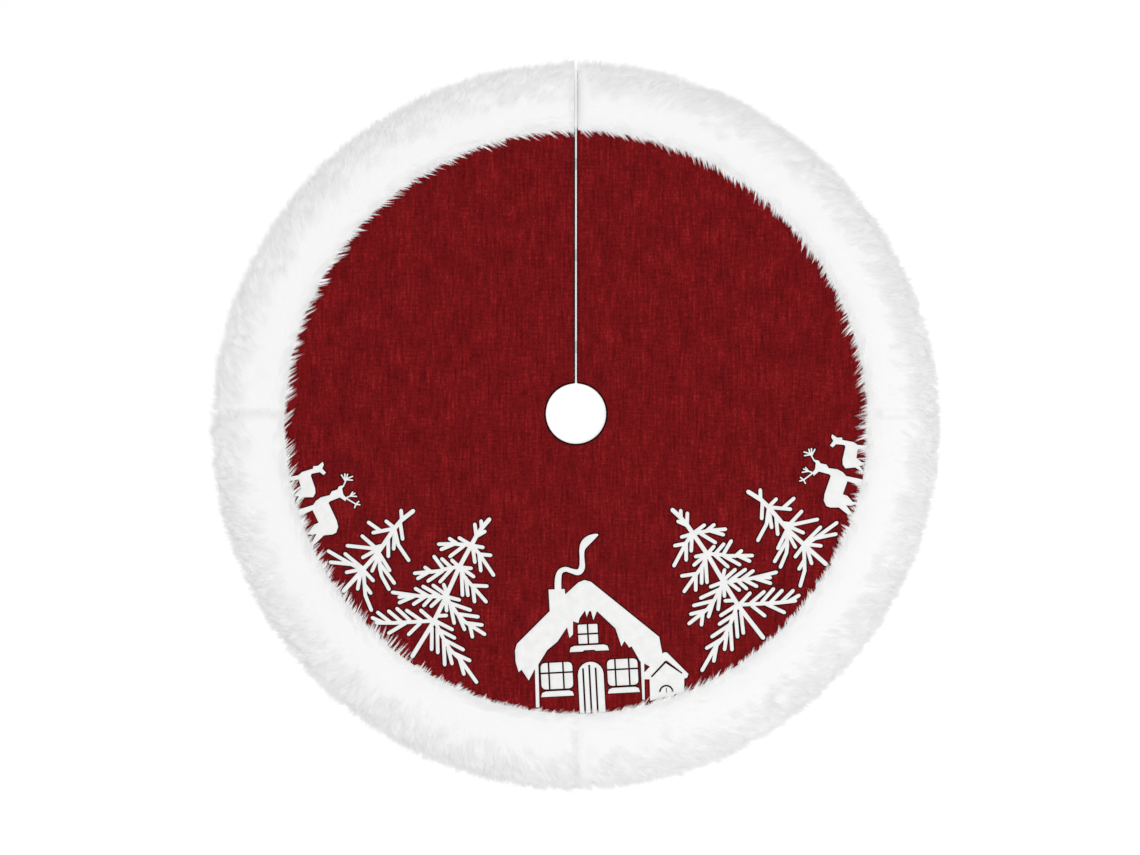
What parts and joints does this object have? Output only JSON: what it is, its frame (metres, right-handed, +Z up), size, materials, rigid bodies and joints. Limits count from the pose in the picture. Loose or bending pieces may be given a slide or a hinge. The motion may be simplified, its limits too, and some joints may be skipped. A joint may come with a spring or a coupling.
{
  "type": "tree skirt",
  "caption": "Round lined cloth tree skirt with a trunk hole, a slit, a faux-fur border and a half ring of felt trees, deer and a cottage.",
  "frame": {"origin": "on the floor under the middle of the round outer edge", "axes": "+Z up out of the decorated face; the slit runs from the trunk hole towards +Y and the decorated half lies towards -Y; +X is to the right when the cottage stands upright"},
  "size_m": [1.2186, 1.2192, 0.025],
  "materials": {
    "red_cloth": "matte slubbed weave, deep red",
    "lining": "plain off-white weave",
    "faux_fur": "long white pile",
    "felt": "matte off-white felt",
    "hook_tape": "white woven hook tape",
    "loop_tape": "white napped loop tape"
  },
  "bodies": {
    "front_half": {"red_cloth_front": "red_cloth", "lining_front": "lining", "fur_band_front_left": "faux_fur", "fur_band_front_right": "faux_fur", "felt_tree_tall_left": "felt", "felt_tree_tall_right": "felt", "felt_tree_short_left": "felt", "felt_tree_short_right": "felt", "felt_stag_left": "felt", "felt_stag_right": "felt", "felt_doe_left": "felt", "felt_doe_right": "felt", "felt_cottage_roof_and_walls": "felt", "felt_cottage_door": "felt", "felt_window_upper": "felt", "felt_window_left": "felt", "felt_window_right": "felt", "felt_sill_upper": "felt", "felt_sill_left": "felt", "felt_sill_right": "felt"},
    "left_flap": {"red_cloth_back_left": "red_cloth", "lining_back_left": "lining", "fur_band_back_left": "faux_fur", "loop_patch_1": "loop_tape", "loop_patch_2": "loop_tape", "loop_patch_3": "loop_tape"},
    "right_flap": {"red_cloth_back_right": "red_cloth", "lining_back_right": "lining", "fur_band_back_right": "faux_fur", "hook_tab_1": "hook_tape", "hook_tab_2": "hook_tape", "hook_tab_3": "hook_tape"}
  },
  "joints": [
    {"name": "left_flap_fold", "type": "hinge", "parent": "front_half", "child": "left_flap", "pos_m": [0, 0.0215, 0.0255], "axis": [1, 0, 0], "range_deg": [0, 180]},
    {"name": "right_flap_fold", "type": "hinge", "parent": "front_half", "child": "right_flap", "pos_m": [0, 0.0215, 0.0255], "axis": [1, 0, 0], "range_deg": [0, 180], "deforming": ["hook_tab_1", "hook_tab_2", "hook_tab_3"]}
  ]
}
